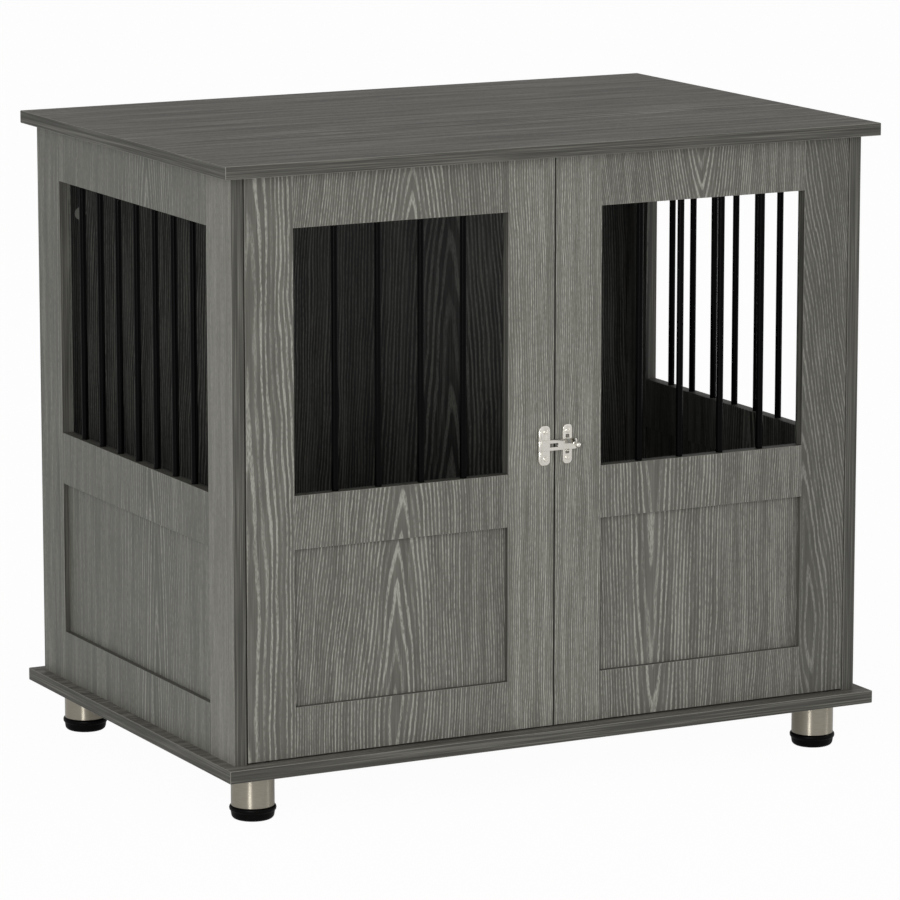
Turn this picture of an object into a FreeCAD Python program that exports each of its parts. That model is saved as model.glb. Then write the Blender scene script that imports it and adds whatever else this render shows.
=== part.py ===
# Pet crate that doubles as a side table: a cabinet of framed panels with round steel bars,
# a pair of doors on pivot pins, a flip latch across the doors and four steel tube feet.
# Millimetres. +Z is up, the doors face -Y, and the origin is on the floor under the middle.
import FreeCAD
import Part
import math
import os
import re

Vector = FreeCAD.Vector

# Driving sizes, one cell each.
SIZES = [
    ("overall_width", 850),
    ("overall_depth", 580),
    ("board_thickness", 15),
    ("board_round", 1),
    ("clear_height", 670),
    ("side_overhang", 15),
    ("front_overhang", 20),
    ("rear_overhang", 15),
    ("frame_thickness", 15),
    ("frame_round", 0.5),
    ("side_stile_width", 65),
    ("door_stile_width", 60),
    ("top_rail_width", 60),
    ("mid_rail_width", 62),
    ("bottom_rail_width", 58),
    ("window_height", 304),
    ("door_side_gap", 1.7),
    ("door_meeting_gap", 2),
    ("door_end_gap", 1.8),
    ("infill_thickness", 5),
    ("infill_recess", 7),
    ("infill_clearance", 0.1),
    ("groove_depth", 8),
    ("groove_end_room", 0.5),
    ("bar_diameter", 8),
    ("bar_pitch_limit", 55),
    ("bar_clearance", 0.05),
    ("bar_seat_depth", 10),
    ("bar_end_room", 0.3),
    ("dowel_diameter", 8),
    ("dowel_length", 30),
    ("dowel_clearance", 0.05),
    ("dowel_end_room", 0.5),
    ("back_thickness", 15),
    ("cam_diameter", 15),
    ("cam_depth", 12),
    ("cam_setback", 34),
    ("cam_slot_length", 8),
    ("cam_slot_width", 1.6),
    ("cam_slot_depth", 1.2),
    ("cam_clearance", 0.1),
    ("cam_bolt_diameter", 6),
    ("cam_bolt_thread", 11),
    ("back_cam_inset", 110),
    ("pivot_diameter", 6),
    ("pivot_setback", 22),
    ("pivot_seat", 25),
    ("pivot_reach", 8),
    ("pivot_clearance", 0.08),
    ("bush_diameter", 10),
    ("bush_depth", 9),
    ("bush_flange_diameter", 15),
    ("bush_clearance", 0.05),
    ("running_gap", 0.3),
    ("catch_width", 46),
    ("catch_depth", 14),
    ("catch_height", 13),
    ("catch_round", 1.5),
    ("strike_width", 16),
    ("strike_height", 12),
    ("strike_thickness", 1),
    ("foot_inset", 52),
    ("foot_height", 56),
    ("tube_diameter", 50),
    ("tube_height", 40),
    ("tube_wall", 1.5),
    ("tube_top", 3),
    ("cap_diameter", 54),
    ("cap_lip", 7),
    ("cap_lip_round", 3),
    ("cap_waist_diameter", 52),
    ("cap_sole_diameter", 48),
    ("cap_sole_round", 5),
    ("cap_plug_height", 12),
    ("cap_plug_clearance", 0.1),
    ("stud_diameter", 8),
    ("stud_length", 24),
    ("stud_clearance", 0.05),
    ("insert_diameter", 12),
    ("insert_depth", 12),
    ("latch_rise", 349),
    ("latch_height", 46),
    ("latch_thickness", 1.5),
    ("latch_corner", 5),
    ("latch_plate_width", 14),
    ("latch_plate_setback", 6),
    ("keeper_width", 12),
    ("keeper_setback", 9),
    ("knuckle_diameter", 4.6),
    ("knuckle_inset", 5),
    ("latch_pin_diameter", 2.5),
    ("latch_running_gap", 0.4),
    ("arm_height", 12.5),
    ("arm_end_setback", 27),
    ("arm_round", 3),
    ("arm_slot_length", 11),
    ("arm_slot_height", 4.5),
    ("arm_slot_setback", 8),
    ("prong_length", 5),
    ("prong_reach", 5),
    ("prong_thickness", 1.2),
    ("prong_hole_height", 3.5),
    ("knob_setback", 4),
    ("knob_stem_diameter", 3),
    ("knob_stem_length", 5.5),
    ("knob_ball_diameter", 7.4),
    ("knob_ball_sink", 0.6),
    ("screw_head_diameter", 5.6),
    ("screw_head_height", 1.4),
    ("screw_diameter", 3),
    ("screw_length", 10),
    ("screw_inset", 7),
    ("plate_screw_share", 0.4),
    ("screw_clearance", 0.05),
    ("overrun", 1),
]

# Places and sizes that follow from the driving sizes.
PLACES = [
    ("base_bottom", "foot_height"),
    ("base_top", "base_bottom + board_thickness"),
    ("top_bottom", "base_top + clear_height"),
    ("latch_middle", "base_bottom + latch_rise"),
    ("front_face", "-overall_depth / 2 + front_overhang"),
    ("rear_face", "overall_depth / 2 - rear_overhang"),
    ("side_depth", "rear_face - front_face"),
    ("side_outer", "overall_width / 2 - side_overhang"),
    ("side_inner", "side_outer - frame_thickness"),
    ("door_width", "side_inner - door_side_gap - door_meeting_gap / 2"),
    ("door_height", "clear_height - 2 * door_end_gap"),
    ("door_bottom", "base_top + door_end_gap"),
    ("door_back", "front_face + frame_thickness"),
    ("side_opening", "side_depth - 2 * side_stile_width"),
    ("door_opening", "door_width - 2 * door_stile_width"),
    ("side_top_rail", "top_rail_width + door_end_gap"),
    ("side_bottom_rail", "bottom_rail_width + door_end_gap"),
    ("infill_height", "door_height - top_rail_width - mid_rail_width - bottom_rail_width - window_height"),
    ("groove_reach", "groove_depth - groove_end_room"),
    ("groove_width", "infill_thickness + 2 * infill_clearance"),
    ("bar_reach", "bar_seat_depth - bar_end_room"),
    ("pivot_across", "side_inner - door_side_gap - pivot_setback"),
    ("pivot_back", "front_face + frame_thickness / 2"),
    ("bush_flange", "door_end_gap - running_gap"),
    ("foot_across", "overall_width / 2 - foot_inset"),
    ("foot_back", "overall_depth / 2 - foot_inset"),
    ("cap_height", "foot_height - tube_height"),
    ("tube_bore", "tube_diameter - 2 * tube_wall"),
    ("back_inner", "rear_face - back_thickness"),
    ("cam_bolt_length", "cam_setback + cam_bolt_thread"),
    ("arm_back", "latch_thickness + latch_running_gap"),
    ("latch_axis_out", "arm_back + latch_thickness / 2"),
    ("latch_axis_across", "door_meeting_gap / 2 + latch_plate_setback + latch_plate_width"),
    ("arm_length", "latch_axis_across + door_meeting_gap / 2 + arm_end_setback"),
    ("knuckle_end", "(latch_height - arm_height) / 2 - latch_running_gap"),
    ("side_knuckle", "knuckle_end - knuckle_inset"),
]

DOWEL_SHARES = ("1 / 4", "3 / 4")

doc = FreeCAD.newDocument("pet_crate")
home = {}
parts = []


def fill_sheet(name, rows, mark):
    """Write one named cell per row and remember which sheet holds each name."""
    sheet = doc.addObject("Spreadsheet::Sheet", name)
    for row, (alias, content) in enumerate(rows, start=1):
        text = refer(content) if mark else str(content)
        sheet.set(f"A{row}", alias)
        sheet.set(f"B{row}", mark + text)
        sheet.setAlias(f"B{row}", alias)
        home[alias] = name
    doc.recompute()


def refer(text):
    """Turn the plain names in a formula into references to the sheets."""
    return re.sub(r"[a-z][a-z_]+", lambda word: f"{home[word.group()]}.{word.group()}", text)


def bind(item, **formulas):
    """Tie properties of an object to formulas of named sizes."""
    for name, text in formulas.items():
        item.setExpression(name, refer(text))


def put(item, at, facing=None):
    """Place an object at three formulas, with its own Z turned to a direction."""
    turn = FreeCAD.Rotation() if facing is None else facing
    item.Placement = FreeCAD.Placement(Vector(), turn)
    for axis, text in zip("xyz", at):
        item.setExpression(f"Placement.Base.{axis}", refer(text))


def towards(x, y, z):
    """The turn that points an object's own Z along a direction."""
    return FreeCAD.Rotation(Vector(0, 0, 1), Vector(x, y, z))


def start(label, at=("0", "0", "0"), turn=0):
    """A new piece: a body with its label, its place and a turn about Z in degrees."""
    piece = doc.addObject("PartDesign::Body", label)
    put(piece, at, FreeCAD.Rotation(Vector(0, 0, 1), turn))
    parts.append(piece)
    return piece


def block(piece, size, at=("0", "0", "0"), cut=False):
    """Add a box to a piece, or cut one out of it."""
    feature = piece.newObject("PartDesign::SubtractiveBox" if cut else "PartDesign::AdditiveBox", "block")
    bind(feature, Length=size[0], Width=size[1], Height=size[2])
    put(feature, at)
    return feature


def round_bar(piece, diameter, length, at, facing=towards(0, 0, 1), cut=False):
    """Add a cylinder to a piece, or drill one out of it."""
    kind = "PartDesign::SubtractiveCylinder" if cut else "PartDesign::AdditiveCylinder"
    feature = piece.newObject(kind, "round_bar")
    bind(feature, Radius=f"({diameter}) / 2", Height=length)
    put(feature, at, facing)
    return feature


def drill(piece, diameter, depth, at, facing):
    """Drill a hole that starts on a face and goes in along a direction."""
    return round_bar(piece, diameter, depth, at, facing, cut=True)


def soften(piece, feature, radius, axes="xyz"):
    """Round the straight edges of a feature that run along the named axes."""
    doc.recompute()
    names = []
    for index, edge in enumerate(feature.Shape.Edges, start=1):
        along = edge.tangentAt(edge.FirstParameter)
        if max("xyz", key=lambda axis: abs(getattr(along, axis))) in axes:
            names.append(f"Edge{index}")
    rounded = piece.newObject("PartDesign::Fillet", "rounding")
    rounded.Base = (feature, names)
    bind(rounded, Radius=radius)
    return rounded


def round_rims(piece, feature, radius, count):
    """Round the lowest rims of a turned feature, as many as count says."""
    doc.recompute()
    rims = [(edge.BoundBox.ZMax, f"Edge{index}") for index, edge in enumerate(feature.Shape.Edges, start=1)
            if edge.isClosed()]
    rounded = piece.newObject("PartDesign::Fillet", "rounded_rim")
    rounded.Base = (feature, [name for _, name in sorted(rims)[:count]])
    bind(rounded, Radius=radius)
    return rounded


def rod(diameter, length, at, facing=towards(0, 0, 1)):
    """A loose cylinder for a set of like pieces."""
    item = doc.addObject("Part::Cylinder", "rod")
    bind(item, Radius=f"({diameter}) / 2", Height=length)
    put(item, at, facing)
    return item


def gather(label, items):
    """One node that holds a set of like pieces as separate solids."""
    group = doc.addObject("Part::Compound", label)
    group.Links = items
    parts.append(group)
    return group


def moved(start_text, sign, text):
    """A formula moved by a signed amount along one axis."""
    return {0: start_text, 1: f"{start_text} + ({text})", -1: f"{start_text} - ({text})"}[sign]


# A frame lies on its outer face: along runs over its width, inward through its thickness.
FRAMES = {
    "left_side": {
        "kind": "side", "turn": -90, "along": (0, -1), "inward": (1, 0),
        "origin": ("-side_outer", "rear_face", "base_top"), "ends": ("rear_stile", "front_stile"),
    },
    "right_side": {
        "kind": "side", "turn": 90, "along": (0, 1), "inward": (-1, 0),
        "origin": ("side_outer", "front_face", "base_top"), "ends": ("front_stile", "rear_stile"),
    },
    "left_door": {
        "kind": "door", "turn": 0, "along": (1, 0), "inward": (0, 1),
        "origin": ("-side_inner + door_side_gap", "front_face", "door_bottom"),
        "ends": ("hinge_stile", "meeting_stile"),
    },
    "right_door": {
        "kind": "door", "turn": 0, "along": (1, 0), "inward": (0, 1),
        "origin": ("door_meeting_gap / 2", "front_face", "door_bottom"),
        "ends": ("meeting_stile", "hinge_stile"),
    },
}

FRAME_SIZES = {
    "side": {"width": "side_depth", "height": "clear_height", "stile": "side_stile_width",
             "opening": "side_opening", "top": "side_top_rail", "bottom": "side_bottom_rail"},
    "door": {"width": "door_width", "height": "door_height", "stile": "door_stile_width",
             "opening": "door_opening", "top": "top_rail_width", "bottom": "bottom_rail_width"},
}


def spot(frame, along, inward, up):
    """World formulas of a point that is measured on a frame."""
    x, y, z = frame["origin"]
    x = moved(moved(x, frame["along"][0], along), frame["inward"][0], inward)
    y = moved(moved(y, frame["along"][1], along), frame["inward"][1], inward)
    return x, y, moved(z, 1, up)


def build_frame(name, frame):
    """Stiles, rails, infill panel, bars and dowels of one framed panel."""
    size = FRAME_SIZES[frame["kind"]]
    stile, bottom, top = size["stile"], size["bottom"], size["top"]
    opening = size["opening"]
    gaps = math.ceil(doc.places.get(opening) / doc.sizes.bar_pitch_limit)
    mid_up = f"{bottom} + infill_height"
    half = "frame_thickness / 2"
    hole = "dowel_diameter + 2 * dowel_clearance"
    hole_depth = "dowel_length / 2 + dowel_end_room"
    rails = {
        "bottom_rail": ("0", bottom),
        "mid_rail": (mid_up, "mid_rail_width"),
        "top_rail": (f"{mid_up} + mid_rail_width + window_height", top),
    }
    dowel_heights = []
    for up, width in rails.values():
        dowel_heights += [f"{up} + {width} * {share}" for share in DOWEL_SHARES]

    stiles = {}
    for end, stile_name in enumerate(frame["ends"]):
        along = "0" if end == 0 else f"{size['width']} - {stile}"
        piece = start(f"{name}_{stile_name}", spot(frame, along, "0", "0"), frame["turn"])
        bar = block(piece, (stile, "frame_thickness", size["height"]))
        soften(piece, bar, "frame_round", "z")
        inner_edge = stile if end == 0 else "0"
        groove_start = f"{stile} - groove_depth" if end == 0 else "-overrun"
        block(piece, ("groove_depth + overrun", "groove_width", "infill_height + 2 * groove_depth"),
              (groove_start, "infill_recess - infill_clearance", f"{bottom} - groove_depth"), cut=True)
        for up in dowel_heights:
            drill(piece, hole, hole_depth, (inner_edge, half, up), towards(-1 if end == 0 else 1, 0, 0))
        stiles[stile_name] = piece

    for rail_name, (up, width) in rails.items():
        piece = start(f"{name}_{rail_name}", spot(frame, stile, "0", up), frame["turn"])
        bar = block(piece, (opening, "frame_thickness", width))
        soften(piece, bar, "frame_round", "x")
        if rail_name != "top_rail":
            groove_up = f"{width} - groove_depth" if rail_name == "bottom_rail" else "-overrun"
            block(piece, (opening, "groove_width", "groove_depth + overrun"),
                  ("0", "infill_recess - infill_clearance", groove_up), cut=True)
        for end_at, way in (("0", 1), (opening, -1)):
            for share in DOWEL_SHARES:
                drill(piece, hole, hole_depth, (end_at, half, f"{width} * {share}"), towards(way, 0, 0))
        if rail_name != "bottom_rail":
            edge, way = (width, -1) if rail_name == "mid_rail" else ("0", 1)
            for index in range(1, gaps):
                drill(piece, "bar_diameter + 2 * bar_clearance", "bar_seat_depth",
                      (f"{opening} * {index} / {gaps}", half, edge), towards(0, 0, way))

    corner = spot(frame, f"{stile} - groove_reach", "0", f"{bottom} - groove_reach")
    panel = start(f"{name}_infill", corner, frame["turn"])
    block(panel, (f"{opening} + 2 * groove_reach", "infill_thickness", "infill_height + 2 * groove_reach"),
          ("0", "infill_recess", "0"))

    bars = []
    for index in range(1, gaps):
        along = f"{stile} + {opening} * {index} / {gaps}"
        up = f"{mid_up} + mid_rail_width - bar_reach"
        bars.append(rod("bar_diameter", "window_height + 2 * bar_reach", spot(frame, along, half, up)))
    gather(f"{name}_bars", bars)

    way = towards(frame["along"][0], frame["along"][1], 0)
    dowels = []
    for joint in (stile, f"{size['width']} - {stile}"):
        for up in dowel_heights:
            at = spot(frame, f"{joint} - dowel_length / 2", half, up)
            dowels.append(rod("dowel_diameter", "dowel_length", at, way))
    gather(f"{name}_dowels", dowels)
    return stiles


CAM_ACROSS = "(side_outer - frame_thickness / 2)"
CAM_BACK = {-1: "(front_face + side_stile_width / 2)", 1: "(rear_face - side_stile_width / 2)"}
CORNERS = [(x, y) for x in (-1, 1) for y in (-1, 1)]
BOLT_HOLE = "cam_bolt_diameter + 2 * cam_clearance"


def build_boards():
    """Top and base boards with their holes for bushes, cam bolts and foot inserts."""
    flat = ("overall_width", "overall_depth", "board_thickness")
    boards = {}
    for name, level in (("base_board", "base_bottom"), ("top_board", "top_bottom")):
        piece = start(name, ("-overall_width / 2", "-overall_depth / 2", level))
        soften(piece, block(piece, flat), "board_round")
        face, way = ("board_thickness", -1) if name == "base_board" else ("0", 1)
        for side in (-1, 1):
            across = f"overall_width / 2 + pivot_across * {side}"
            drill(piece, "bush_diameter + 2 * bush_clearance", "bush_depth",
                  (across, "overall_depth / 2 + pivot_back", face), towards(0, 0, way))
        for side, end in CORNERS:
            across = f"overall_width / 2 + {CAM_ACROSS} * {side}"
            back = f"overall_depth / 2 + {CAM_BACK[end]}"
            drill(piece, BOLT_HOLE, "cam_bolt_thread", (across, back, face), towards(0, 0, way))
        boards[name] = piece
    for side, end in CORNERS:
        across = f"overall_width / 2 + foot_across * {side}"
        back = f"overall_depth / 2 + foot_back * {end}"
        drill(boards["base_board"], "insert_diameter + 2 * stud_clearance", "insert_depth",
              (across, back, "0"), towards(0, 0, 1))


def cam_lock(at, facing, bolt, bolt_up):
    """One cam: a disc with a cross slot in its face and a bore for the head of its bolt."""
    out, along = Vector(*facing), Vector(*bolt)
    cam = doc.addObject("PartDesign::Body", "cam")
    put(cam, at, FreeCAD.Rotation(along, out.cross(along), out, "ZXY"))
    round_bar(cam, "cam_diameter", "cam_depth", ("0", "0", "0"))
    slot = ("cam_slot_length", "cam_slot_width")
    for length, width in (slot, slot[::-1]):
        block(cam, (length, width, "cam_slot_depth + overrun"),
              (f"-{length} / 2", f"-{width} / 2", "cam_depth - cam_slot_depth"), cut=True)
    drill(cam, BOLT_HOLE, "cam_diameter", ("0", "0", bolt_up), towards(1, 0, 0))
    return cam


def build_cams(stiles):
    """Cam locks and bolts: side stiles to the boards, and the back panel to the rear stiles."""
    cams, bolts = [], []
    pocket = "cam_diameter + 2 * cam_clearance"
    half = "frame_thickness / 2"
    ends = (("cam_setback", "0", 1), ("clear_height - cam_setback", "clear_height", -1))
    for name in ("left_side", "right_side"):
        frame = FRAMES[name]
        for end, stile_name in enumerate(frame["ends"]):
            piece = stiles[name][stile_name]
            middle = "side_stile_width / 2"
            along = middle if end == 0 else f"side_depth - {middle}"
            for up, edge, way in ends:
                drill(piece, pocket, "cam_depth + cam_clearance", (middle, "frame_thickness", up),
                      towards(0, -1, 0))
                drill(piece, BOLT_HOLE, "cam_setback", (middle, half, edge), towards(0, 0, way))
                cams.append(cam_lock(spot(frame, along, "frame_thickness - cam_depth", up),
                                     (*frame["inward"], 0), (0, 0, -way), f"cam_depth - {half}"))
                low = "clear_height - cam_setback" if way == -1 else "-cam_bolt_thread"
                bolts.append(rod("cam_bolt_diameter", "cam_bolt_length", spot(frame, along, half, low)))

    panel = start("back_panel", ("-side_inner", "back_inner", "base_top"))
    board = block(panel, ("2 * side_inner", "back_thickness", "clear_height"))
    soften(panel, board, "frame_round", "z")
    for side in (-1, 1):
        edge = "0" if side == -1 else "2 * side_inner"
        middle = "cam_setback" if side == -1 else "2 * side_inner - cam_setback"
        across = f"({'-side_inner + cam_setback' if side == -1 else 'side_inner - cam_setback'})"
        name = "left_side" if side == -1 else "right_side"
        rear = stiles[name]["rear_stile"]
        rear_along = "back_thickness / 2" if side == -1 else "side_stile_width - back_thickness / 2"
        for up in ("back_cam_inset", "clear_height - back_cam_inset"):
            drill(panel, pocket, "cam_depth + cam_clearance", (middle, "0", up), towards(0, 1, 0))
            drill(panel, BOLT_HOLE, "cam_setback", (edge, "back_thickness / 2", up), towards(-side, 0, 0))
            drill(rear, BOLT_HOLE, "cam_bolt_thread", (rear_along, "frame_thickness", up), towards(0, -1, 0))
            level = f"base_top + {up}"
            cams.append(cam_lock((across, "back_inner + cam_depth", level), (0, -1, 0), (side, 0, 0),
                                 "cam_depth - back_thickness / 2"))
            bolts.append(rod("cam_bolt_diameter", "cam_bolt_length",
                             (across, "back_inner + back_thickness / 2", level), towards(side, 0, 0)))
    gather("cam_locks", cams)
    gather("cam_bolts", bolts)


def build_pivots(stiles):
    """Pivot pins in the hinge stiles and the flanged bushes that they turn in."""
    bushes = []
    for name, side in (("left_door", -1), ("right_door", 1)):
        piece = stiles[name]["hinge_stile"]
        middle = "pivot_setback" if side == -1 else "door_stile_width - pivot_setback"
        across = f"pivot_across * {side}"
        pins = []
        for edge, way, level in (("0", 1, "base_top"), ("door_height", -1, "top_bottom")):
            facing = towards(0, 0, way)
            drill(piece, "pivot_diameter + 2 * bush_clearance", "pivot_seat",
                  (middle, "frame_thickness / 2", edge), facing)
            tip = moved(level, -way, "pivot_reach")
            pins.append(rod("pivot_diameter", "pivot_reach + door_end_gap + pivot_seat",
                            (across, "pivot_back", tip), facing))
            bush = rod("bush_diameter", "bush_depth + bush_flange",
                       (across, "pivot_back", moved(level, -way, "bush_depth")), facing)
            flange = rod("bush_flange_diameter", "bush_flange", (across, "pivot_back", level), facing)
            bore = rod("pivot_diameter + 2 * pivot_clearance", "bush_depth + bush_flange + 2 * overrun",
                       (across, "pivot_back", moved(level, -way, "bush_depth + overrun")), facing)
            collar = doc.addObject("Part::Fuse", "bush_collar")
            collar.Base, collar.Tool = bush, flange
            sleeve = doc.addObject("Part::Cut", "bush")
            sleeve.Base, sleeve.Tool = collar, bore
            bushes.append(sleeve)
        gather(f"{name}_pivot_pins", pins)
    gather("pivot_bushes", bushes)


def build_catch():
    """Magnetic catch under the top board and the strike plates behind the doors."""
    front = "door_back + strike_thickness + running_gap"
    piece = start("magnetic_catch", ("-catch_width / 2", front, "top_bottom - catch_height"))
    soften(piece, block(piece, ("catch_width", "catch_depth", "catch_height")), "catch_round", "z")
    low = "top_bottom - door_end_gap - strike_height"
    for name, across in (("left_door_strike", "-door_meeting_gap / 2 - strike_width"),
                         ("right_door_strike", "door_meeting_gap / 2")):
        plate = start(name, (across, "door_back", low))
        flat = block(plate, ("strike_width", "strike_thickness", "strike_height"))
        soften(plate, flat, "strike_thickness", "y")


def build_feet():
    """Four tube feet with a plastic cap below and a stud up into an insert in the base board."""
    names = {(-1, -1): "front_left", (-1, 1): "rear_left", (1, -1): "front_right", (1, 1): "rear_right"}
    studs, inserts, caps = [], [], []
    stud_hole = "stud_diameter + 2 * stud_clearance"
    for corner, name in names.items():
        across, back = f"foot_across * {corner[0]}", f"foot_back * {corner[1]}"
        tube = start(f"{name}_foot_tube", (across, back, "cap_height"))
        round_bar(tube, "tube_diameter", "tube_height", ("0", "0", "0"))
        drill(tube, "tube_bore", "tube_height - tube_top", ("0", "0", "0"), towards(0, 0, 1))
        drill(tube, stud_hole, "tube_height", ("0", "0", "0"), towards(0, 0, 1))
        cap = doc.addObject("PartDesign::Body", f"{name}_foot_cap_body")
        put(cap, (across, back, "0"))
        lip = round_bar(cap, "cap_diameter", "cap_lip", ("0", "0", "cap_height - cap_lip"))
        round_rims(cap, lip, "cap_lip_round", 2)
        waist = cap.newObject("PartDesign::AdditiveCone", "waist")
        bind(waist, Radius1="cap_sole_diameter / 2", Radius2="cap_waist_diameter / 2",
             Height="cap_height - cap_lip / 2")
        round_rims(cap, waist, "cap_sole_round", 1)
        round_bar(cap, "tube_bore - 2 * cap_plug_clearance", "cap_plug_height", ("0", "0", "cap_height"))
        caps.append(cap)
        stud_low = "base_bottom - stud_length + insert_depth"
        studs.append(rod("stud_diameter", "stud_length", (across, back, stud_low)))
        shell = rod("insert_diameter", "insert_depth", (across, back, "base_bottom"))
        bore = rod(stud_hole, "insert_depth", (across, back, "base_bottom"))
        insert = doc.addObject("Part::Cut", "insert")
        insert.Base, insert.Tool = shell, bore
        inserts.append(insert)
    gather("foot_caps", caps)
    gather("foot_studs", studs)
    gather("insert_nuts", inserts)


def latch_plate(label, across, width):
    """A flat plate with rounded corners on a door's face, its corner low on the left."""
    piece = start(label, (across, "front_face - latch_thickness", "latch_middle - latch_height / 2"))
    soften(piece, block(piece, (width, "latch_thickness", "latch_height")), "latch_corner", "y")
    return piece


def latch_screws(label, piece, stile, across, stile_left, plate_left):
    """Two pan head screws through a plate into a stile."""
    screws = []
    for up in ("screw_inset", "latch_height - screw_inset"):
        hole = "screw_diameter + 2 * screw_clearance"
        drill(piece, hole, "latch_thickness", (f"{across} - ({plate_left})", "0", up), towards(0, 1, 0))
        level = f"latch_middle - latch_height / 2 + {up}"
        drill(stile, hole, "screw_length", (f"{across} - ({stile_left})", "0", f"{level} - door_bottom"),
              towards(0, 1, 0))
        shank = rod("screw_diameter", "screw_length + latch_thickness",
                    (across, "front_face - latch_thickness", level), towards(0, 1, 0))
        head = rod("screw_head_diameter", "screw_head_height",
                   (across, "front_face - latch_thickness", level), towards(0, -1, 0))
        screw = doc.addObject("Part::Fuse", "screw")
        screw.Base, screw.Tool = shank, head
        screws.append(screw)
    gather(label, screws)


def build_latch(stiles):
    """Flip latch: a hinged arm on the left door that lies between two prongs on the right door."""
    axis = ("-latch_axis_across", "front_face - latch_axis_out")
    pin_hole = "latch_pin_diameter + 2 * pivot_clearance"
    low = "latch_middle - latch_height / 2"

    plate_left = "-latch_axis_across"
    plate = latch_plate("latch_plate", plate_left, "latch_plate_width")
    knuckle_out = "latch_thickness - latch_axis_out"
    for up in ("knuckle_inset", "latch_height - knuckle_end"):
        round_bar(plate, "knuckle_diameter", "side_knuckle", ("0", knuckle_out, up))
    drill(plate, "latch_pin_diameter + 2 * screw_clearance", "latch_height", ("0", knuckle_out, "0"),
          towards(0, 0, 1))
    knuckle_room = "knuckle_diameter + 2 * latch_running_gap"
    block(plate, (knuckle_room, "knuckle_diameter + latch_axis_out", "arm_height + 2 * latch_running_gap"),
          (f"-({knuckle_room}) / 2", "-latch_axis_out", "knuckle_end"), cut=True)
    latch_screws("latch_plate_screws", plate, stiles["left_door"]["meeting_stile"],
                 "-door_meeting_gap / 2 - latch_plate_setback - latch_plate_width * plate_screw_share",
                 "-door_meeting_gap / 2 - door_stile_width", plate_left)
    gather("latch_pin", [rod("latch_pin_diameter", "latch_height - 2 * knuckle_inset",
                             (*axis, f"{low} + knuckle_inset"))])

    arm = start("latch_arm", (*axis, "latch_middle - arm_height / 2"))
    bar = block(arm, ("arm_length", "latch_thickness", "arm_height"), ("0", "-latch_thickness / 2", "0"))
    doc.recompute()
    rounded = arm.newObject("PartDesign::Fillet", "rounded_end")
    middle = bar.Shape.BoundBox.Center.x
    boxes = [edge.BoundBox for edge in bar.Shape.Edges]
    ends = [index for index, box in enumerate(boxes, start=1)
            if box.XMin > middle and box.YLength > box.ZLength]
    rounded.Base = (bar, [f"Edge{index}" for index in ends])
    bind(rounded, Radius="arm_round")
    round_bar(arm, "knuckle_diameter", "arm_height", ("0", "0", "0"))
    drill(arm, pin_hole, "arm_height", ("0", "0", "0"), towards(0, 0, 1))
    block(arm, ("arm_slot_length", "latch_thickness + 2 * overrun", "arm_slot_height"),
          ("latch_axis_across - arm_slot_setback", "-latch_thickness / 2 - overrun",
           "(arm_height - arm_slot_height) / 2"), cut=True)

    knob = start("latch_knob", ("door_meeting_gap / 2 + arm_end_setback - knob_setback",
                                "front_face - arm_back - latch_thickness", "latch_middle"))
    round_bar(knob, "knob_stem_diameter", "knob_stem_length", ("0", "0", "0"), towards(0, -1, 0))
    ball = knob.newObject("PartDesign::AdditiveSphere", "ball")
    bind(ball, Radius="knob_ball_diameter / 2")
    put(ball, ("0", "-knob_stem_length - knob_ball_diameter / 2 + knob_ball_sink", "0"))

    keeper_left = "door_meeting_gap / 2 + keeper_setback"
    keeper = latch_plate("latch_keeper", keeper_left, "keeper_width")
    prong_gap = "arm_height / 2 + latch_running_gap"
    prong_left = "(keeper_width - prong_length) / 2"
    for side in (-1, 1):
        middle = "latch_height / 2"
        inner = moved(middle, side, prong_gap)
        outer = moved(middle, side, f"{prong_gap} + prong_thickness")
        hole_low = outer if side == 1 else f"{outer} - prong_hole_height"
        block(keeper, ("prong_length", "prong_reach", "prong_thickness"),
              (prong_left, "latch_thickness - prong_reach", inner if side == 1 else outer))
        block(keeper, ("prong_length", "latch_thickness", "prong_hole_height"),
              (prong_left, "0", hole_low), cut=True)
    latch_screws("latch_keeper_screws", keeper, stiles["right_door"]["meeting_stile"],
                 "door_meeting_gap / 2 + keeper_setback + keeper_width / 2",
                 "door_meeting_gap / 2", keeper_left)


def check_and_write():
    """Stop if anything failed, then write one file per piece."""
    doc.recompute()
    for item in doc.Objects:
        if "Invalid" in item.State or "Error" in item.State:
            raise RuntimeError(f"{item.Label} failed: {item.State}")
    os.makedirs("parts", exist_ok=True)
    for piece in parts:
        shape = piece.Shape
        if shape.isNull() or not shape.isValid() or not shape.Solids:
            raise RuntimeError(f"{piece.Label} has no valid solid")
        shape.exportStep(f"parts/{piece.Label}.step")
        print(f"{piece.Label}: {len(shape.Solids)} solid(s), {shape.Volume / 1000:.1f} cm3")


fill_sheet("sizes", SIZES, "")
fill_sheet("places", PLACES, "=")
all_stiles = {name: build_frame(name, frame) for name, frame in FRAMES.items()}
build_boards()
build_cams(all_stiles)
build_pivots(all_stiles)
build_catch()
build_feet()
build_latch(all_stiles)
check_and_write()
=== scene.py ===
# %% [markdown]
# # A pet crate that doubles as a side table
# The crate is a cabinet of foil-wrapped boards with barred windows, two doors, a flip latch and tube feet.
# Its solids come from the CAD frame in metres, so everything here is placed by asking the frame.

# %% Load the frame
from math import radians

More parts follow.
